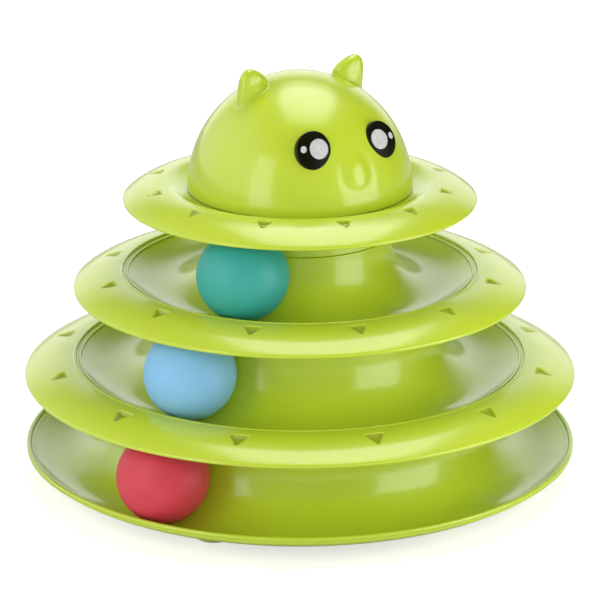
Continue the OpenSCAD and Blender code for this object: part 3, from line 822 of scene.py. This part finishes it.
def sunk_shade_group():
    """Mask for the shade painted into a brim's sunk triangles: the skin's depth below the arc it
    follows, between two radii. Painted Shade is 0 on the skin and on the underside, and 1 in the
    floor of a sunk triangle: it rises from 0.1 to 0.9 mm of depth and falls again from 1.6 to 1.9 mm."""
    sizes = ["Arc Radius", "Arc Height", "Skin", "Middle", "Reach"]
    group, given, out = node_group("sunk_triangle_painted_shade", sizes, ["Sunk"])
    arc_r, arc_z, skin, middle, band = (given.outputs[n] for n in sizes)
    parts = group.nodes.new("ShaderNodeSeparateXYZ")
    group.links.new(given.outputs["Vector"], parts.inputs[0])
    x, y, z = parts.outputs

    def far(a, b):
        squares = [math_node(group, "MULTIPLY", side, side) for side in (a, b)]
        return math_node(group, "SQRT", math_node(group, "ADD", *squares))

    radius = far(x, y)
    depth = math_node(group, "SUBTRACT", skin, far(math_node(group, "SUBTRACT", radius, arc_r),
                                                   math_node(group, "SUBTRACT", z, arc_z)))
    off = math_node(group, "ABSOLUTE", math_node(group, "SUBTRACT", radius, middle))
    sunk = math_node(group, "LESS_THAN", off, band)
    for start, end in ((0.1, 0.9), (1.9, 1.6)):
        sunk = math_node(group, "MULTIPLY", sunk, smooth_step(group, depth, start * MM, end * MM))
    group.links.new(sunk, out.inputs["Sunk"])
    return group


def print_group():
    """Screen-printed ink: a grainy stipple, 0.6 of a fine noise and 0.4 of a coarse one, and
    its height, 0.02 mm times the grain."""
    group, given, out = node_group("printed_ink", [], ["Grain", "Height"])
    fine = noise_node(group, given.outputs["Vector"], 1500.0, 3.0, 0.7)
    coarse = noise_node(group, given.outputs["Vector"], 500.0, 2.0)
    grain = math_node(group, "ADD", math_node(group, "MULTIPLY", fine, 0.6),
                      math_node(group, "MULTIPLY", coarse, 0.4))
    group.links.new(grain, out.inputs["Grain"])
    group.links.new(math_node(group, "MULTIPLY", grain, 2e-5), out.inputs["Height"])
    return group


MOULDED, SUNK_SHADE, PRINTED = moulded_group(), sunk_shade_group(), print_group()


def shaded(name, group, values, ramp, mask, rough, rub=None, **constants):
    """A material whose group drives a colour ramp, a roughness range and a bump; what is the same
    all over is set on the shader's own sockets."""
    material = bpy.data.materials.new(name)
    material.use_nodes = True
    tree = material.node_tree
    shader = tree.nodes["Principled BSDF"]
    coords = tree.nodes.new("ShaderNodeTexCoord")
    effect = tree.nodes.new("ShaderNodeGroup")
    effect.node_tree = group
    tree.links.new(coords.outputs["Object"], effect.inputs["Vector"])
    for socket, value in values.items():
        effect.inputs[socket].default_value = value
    colors = tree.nodes.new("ShaderNodeValToRGB")
    for element, position, color in zip(colors.color_ramp.elements, (0.3, 0.7), ramp):
        element.position, element.color = position, color
    tree.links.new(effect.outputs[mask], colors.inputs["Fac"])
    tree.links.new(colors.outputs["Color"], shader.inputs["Base Color"])
    spread = tree.nodes.new("ShaderNodeMapRange")
    spread.inputs["To Min"].default_value, spread.inputs["To Max"].default_value = rough
    tree.links.new(effect.outputs[rub or mask], spread.inputs["Value"])
    tree.links.new(spread.outputs["Result"], shader.inputs["Roughness"])
    # The group's height is in metres already
    bump = tree.nodes.new("ShaderNodeBump")
    bump.inputs["Distance"].default_value = 1.0
    tree.links.new(effect.outputs["Height"], bump.inputs["Height"])
    tree.links.new(bump.outputs["Normal"], shader.inputs["Normal"])
    for socket, value in constants.items():
        shader.inputs[socket.replace("_", " ")].default_value = value
    return material


def plastic(name, dark, light, rough, ripple, speck, **constants):
    """Moulded plastic or metal between two colours, rougher where it is rubbed."""
    return shaded(name, MOULDED, {"Ripple": ripple, "Speck": speck}, (dark, light), "Cloud", rough,
                  rub="Rub", **constants)


def green_plastic(name, tier=None):
    """The trays' glossy green; on a brim, shade is painted into the sunk triangles as a darker green."""
    material = plastic(name, (0.505, 0.64, 0.024, 1), (0.535, 0.675, 0.029, 1), (0.36, 0.46), 1.2e-5, 6e-7,
                       IOR=1.5, Coat_Weight=0.75, Coat_Roughness=0.13, Coat_IOR=1.5)
    if tier:
        tree = material.node_tree
        base = tree.nodes["Principled BSDF"].inputs["Base Color"]
        color = base.links[0].from_socket
        centre, r = brim_bow(tier)[:2]
        long, inset = mark_size(tier)[1:]
        marks = tree.nodes.new("ShaderNodeGroup")
        marks.node_tree = SUNK_SHADE
        values = (*centre, r + wall / 2, crease_r(tier) + inset, long / 2 + mark_shade)
        for socket, value in zip(list(marks.inputs)[1:], values):
            socket.default_value = value * MM
        tree.links.new(tree.nodes["Texture Coordinate"].outputs["Object"], marks.inputs["Vector"])
        mix = tree.nodes.new("ShaderNodeMix")
        mix.data_type = "RGBA"
        # Sockets 6 and 7 are the two colours, and output 2 is theirs mixed
        tree.links.new(marks.outputs["Sunk"], mix.inputs["Factor"])
        tree.links.new(color, mix.inputs[6])
        # Painted shade: the darker green put in the floors of the sunk triangles
        mix.inputs[7].default_value = (0.34, 0.42, 0.007, 1)
        tree.links.new(mix.outputs[2], base)
    return material


green = green_plastic("green_gloss_plastic")
eye_black = plastic("eye_black_plastic", (0.004, 0.005, 0.001, 1), (0.008, 0.009, 0.003, 1),
                    (0.3, 0.42), 6e-6, 1e-6, Specular_IOR_Level=0.1)
eye_white = shaded("eye_white_ink", PRINTED, {}, ((0.42, 0.42, 0.42, 1), (0.7, 0.7, 0.7, 1)), "Grain",
                   (0.45, 0.65))
ball_tones = {
    "red": ((0.62, 0.04, 0.065, 1), (0.66, 0.05, 0.075, 1)),
    "blue": ((0.22, 0.5, 0.78, 1), (0.25, 0.54, 0.82, 1)),
    "teal": ((0.03, 0.35, 0.3, 1), (0.037, 0.39, 0.33, 1))}
ball_plastic = {color: plastic(color + "_satin_plastic", *tones, (0.48, 0.58), 8e-6, 1.5e-6)
                for color, tones in ball_tones.items()}
bell_brass = plastic("bell_brass", (0.6, 0.38, 0.1, 1), (0.75, 0.5, 0.16, 1), (0.2, 0.4), 1e-5, 1e-6,
                     Metallic=1.0)
pellet_steel = plastic("pellet_steel", (0.4, 0.4, 0.42, 1), (0.52, 0.52, 0.54, 1), (0.25, 0.4), 6e-6, 1e-6,
                       Metallic=1.0)
pad_rubber = plastic("pad_soft_rubber", (0.2, 0.26, 0.04, 1), (0.26, 0.33, 0.06, 1), (0.6, 0.8), 1e-5, 5e-6)


# Pieces

new_piece("base_tray_shell", base_tray_mesh(), "base", "green_shell", green, "base_tray")
for i, tier in ((1, "middle"), (2, "upper")):
    new_piece(tier + "_tray_shell", brimmed_tray_mesh(i), tier + "_tier", "green_shell",
              green_plastic("green_gloss_" + tier, i), tier + "_tray")
new_piece("cap_shell", cap_brim_mesh(), "cap", "green_shell", green_plastic("green_gloss_cap", CAP),
          "cap_brim")
new_piece("head_shell", merged([head_mesh(), ear_mesh(-1), ear_mesh(1)]), "cap", "green_shell", green,
          "head_dome")
for side, label in ((-1, "left"), (1, "right")):
    new_piece(label + "_eye_dome", eye_mesh(side), "cap", "eye_black", eye_black, label + "_eye")
    new_piece(label + "_eye_spots", eye_print_mesh(side), "cap", "print_white", eye_white,
              label + "_eye_print")
for color, surface in ball_plastic.items():
    for outward, half in ((1, "outer"), (-1, "inner")):
        new_piece(f"{color}_ball_{half}_shell", ball_half_mesh(color, outward), color + "_ball",
                  color + "_ball", surface, f"{color}_ball_{half}_half")
for k in range(foot_count):
    new_piece(f"foot_pad_soft_{k + 1}", pad_mesh(k), "base", "pad_rubber", pad_rubber, f"foot_pad_{k + 1}")

# The bells and pellets keep their solids
for name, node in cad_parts.items():
    for ending, surface in (("_bell", bell_brass), ("_pellet", pellet_steel)):
        if name.endswith(ending):
            node.data.materials.clear()
            node.data.materials.append(surface)


# Floor, light and camera

# The camera's place and lens, as the photo's rings and balls give them; from here on in metres
target = Vector((0, 0, 0.0786))
camera_turn, camera_rise, camera_reach = np.radians(-31.6), np.radians(18.37), 1.3
focal_pixels, photo_pixels, sensor = 2891.3, 600, 36.0
to_camera = Vector((np.sin(camera_turn), -np.cos(camera_turn), 0))
to_right = Vector((np.cos(camera_turn), np.sin(camera_turn), 0))
to_lens = to_camera * np.cos(camera_rise) + Vector((0, 0, np.sin(camera_rise)))


def aim(thing, place, look_at):
    """Stands a light or the camera at a place, looking at another."""
    thing.location = place
    thing.rotation_euler = (look_at - place).to_track_quat("-Z", "Y").to_euler()


camera = scene_object("camera", bpy.data.cameras.new("camera"))
aim(camera, target + camera_reach * to_lens, target)
camera.data.sensor_width = sensor
camera.data.lens = focal_pixels / photo_pixels * sensor
camera.data.clip_end = 20
bpy.context.scene.camera = camera

# Radiance of each softbox, of the room's left side and its backdrop, and of the floor
levels = {
    "overhead": 1.25, "core": 1.15, "halo": 1.4, "right": 2.8, "left": 2.1, "fill": 1.65, "room_left": 1.25,
    "backdrop": 1.35, "floor": 0.6}


def softbox(name, place, look_at, width, height, shape="RECTANGLE"):
    """A light of even brightness; its power is pi times its area times its radiance."""
    light = bpy.data.lights.new(name, "AREA")
    light.shape, light.size, light.size_y = shape, width, height
    area = width * height * (np.pi / 4 if shape == "ELLIPSE" else 1)
    light.energy = np.pi * area * levels[name]
    box = scene_object(name, light)
    aim(box, place, look_at)
    box.visible_camera = False
    return box


# The overhead lights hang this far over a level just below the head's crown. Their sizes, and
# how far right and back they stand, are shares of it.
over, crown, over_right, over_back = 0.9, 0.17, 0.11, 0.255
above = to_right * over_right * over - to_camera * over_back * over
# An oval softbox with a squarer core, for soft corners, and a dim halo that reaches back
for name, shape, drop, back, width, length in (
        ("overhead", "ELLIPSE", 0.01, 0, 0.86, 1.12), ("core", "RECTANGLE", 0.02, 0, 0.74, 0.98),
        ("halo", "ELLIPSE", 0, 0.3, 0.9, 1.4)):
    below = above - to_camera * back * over
    place = below + Vector((0, 0, crown + over - drop))
    box = softbox(name, place, below, width * over, length * over, shape)
    box.rotation_euler = Euler((0, 0, camera_turn))


def standing_softbox(name, turn, reach, width, top):
    """A softbox that stands on the floor and faces the tower, at a turn from the camera."""
    away = to_camera * np.cos(np.radians(turn)) + to_right * np.sin(np.radians(turn))
    middle = Vector((0, 0, top / 2))
    return softbox(name, away * reach + middle, middle, width, top)


standing_softbox("right", 61.0, 0.4, 0.276, 0.35)
standing_softbox("left", -39.0, 0.5, 0.2, 0.5)
# A wide soft fill from beside the camera, kept out of the gloss
fill = standing_softbox("fill", 8.0, 1.8, 1.6, 1.6)
fill.visible_glossy = False

floor_reach = 6.0
corners = [(x * floor_reach, y * floor_reach, 0) for x, y in ((-1, -1), (1, -1), (1, 1), (-1, 1))]
floor_mesh = bpy.data.meshes.new("floor")
floor_mesh.from_pydata(corners, [], [(0, 1, 2, 3)])
floor = scene_object("floor", floor_mesh)
pale = bpy.data.materials.new("pale_floor")
pale.use_nodes = True
surface = pale.node_tree.nodes["Principled BSDF"]
surface.inputs["Base Color"].default_value = (0.8, 0.8, 0.8, 1)
surface.inputs["Roughness"].default_value = 0.9
surface.inputs["Emission Color"].default_value = (1, 1, 1, 1)
# The photo's floor is washed out to white, but little of it shows in the gloss
straight = pale.node_tree.nodes.new("ShaderNodeLightPath").outputs["Is Camera Ray"]
pale.node_tree.links.new(math_node(pale.node_tree, "MULTIPLY", straight, levels["floor"]),
                         surface.inputs["Emission Strength"])
floor_mesh.materials.append(pale)

world = bpy.data.worlds.new("white_room")
world.use_nodes = True
room = world.node_tree
look = room.nodes.new("ShaderNodeTexCoord").outputs["Generated"]


def room_side(direction, start, end):
    """0 to 1 as a look direction turns from start to end, as cosines, towards a side."""
    dot = room.nodes.new("ShaderNodeVectorMath")
    dot.operation = "DOT_PRODUCT"
    dot.inputs[1].default_value = direction
    room.links.new(look, dot.inputs[0])
    return smooth_step(room, dot.outputs["Value"], start, end)


light_sum = 0.0
for name, direction, start, end in (
        ("room_left", -to_right, 0.3, 0.9), ("backdrop", -to_camera, 0.72, 0.94)):
    part = math_node(room, "MULTIPLY", room_side(direction, start, end), levels[name])
    if name == "backdrop":
        part = math_node(room, "MULTIPLY", part, room_side(Vector((0, 0, -1)), -0.6, -0.35))
    light_sum = math_node(room, "ADD", part, light_sum)
seen = room.nodes.new("ShaderNodeLightPath").outputs["Is Camera Ray"]
glow = room.nodes["Background"]
room.links.new(math_node(room, "MAXIMUM", light_sum, seen), glow.inputs["Strength"])
glow.inputs["Color"].default_value = (1, 1, 1, 1)
bpy.context.scene.world = world
bpy.context.scene.view_settings.view_transform = "Standard"

bpy.context.view_layer.update()
